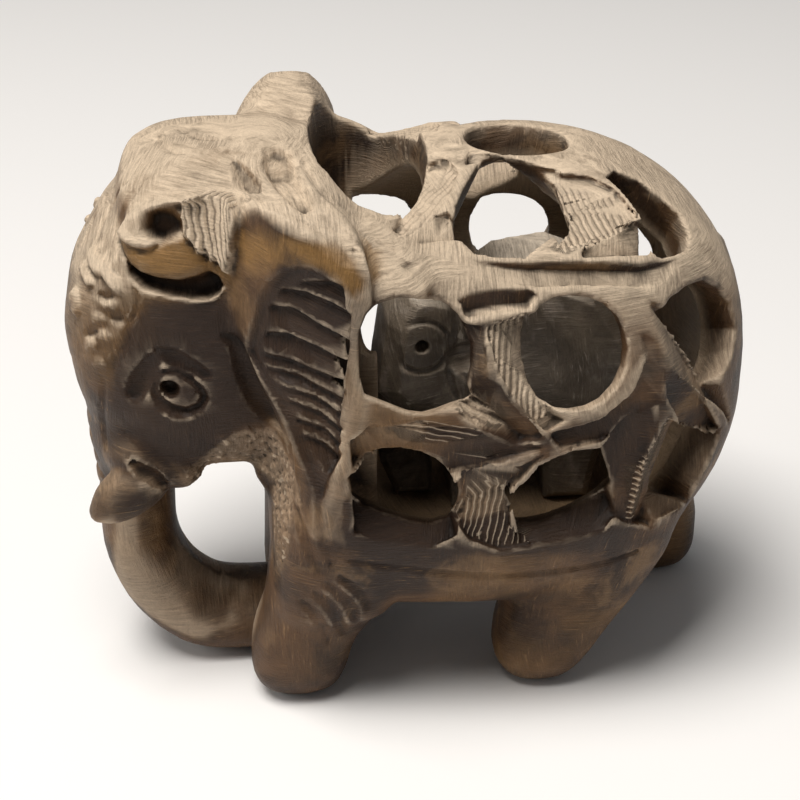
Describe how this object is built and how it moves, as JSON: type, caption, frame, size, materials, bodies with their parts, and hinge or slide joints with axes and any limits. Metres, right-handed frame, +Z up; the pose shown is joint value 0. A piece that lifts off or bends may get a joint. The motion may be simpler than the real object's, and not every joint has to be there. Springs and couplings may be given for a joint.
{
  "type": "soapstone elephant sculpture",
  "caption": "Hollow openwork stone elephant with a smaller elephant loose inside, a small carving that stands on its own feet.",
  "frame": {"origin": "on the ground, below the middle of the outer box", "axes": "+Z up, the elephant faces -X, its left side faces -Y"},
  "size_m": [0.0946, 0.0604, 0.0779],
  "materials": {
    "outer_stone": "scraped and part polished soapstone",
    "inner_stone": "scraped soapstone"
  },
  "bodies": {
    "root": {"outer_elephant": "outer_stone", "inner_elephant": "inner_stone"}
  },
  "joints": []
}
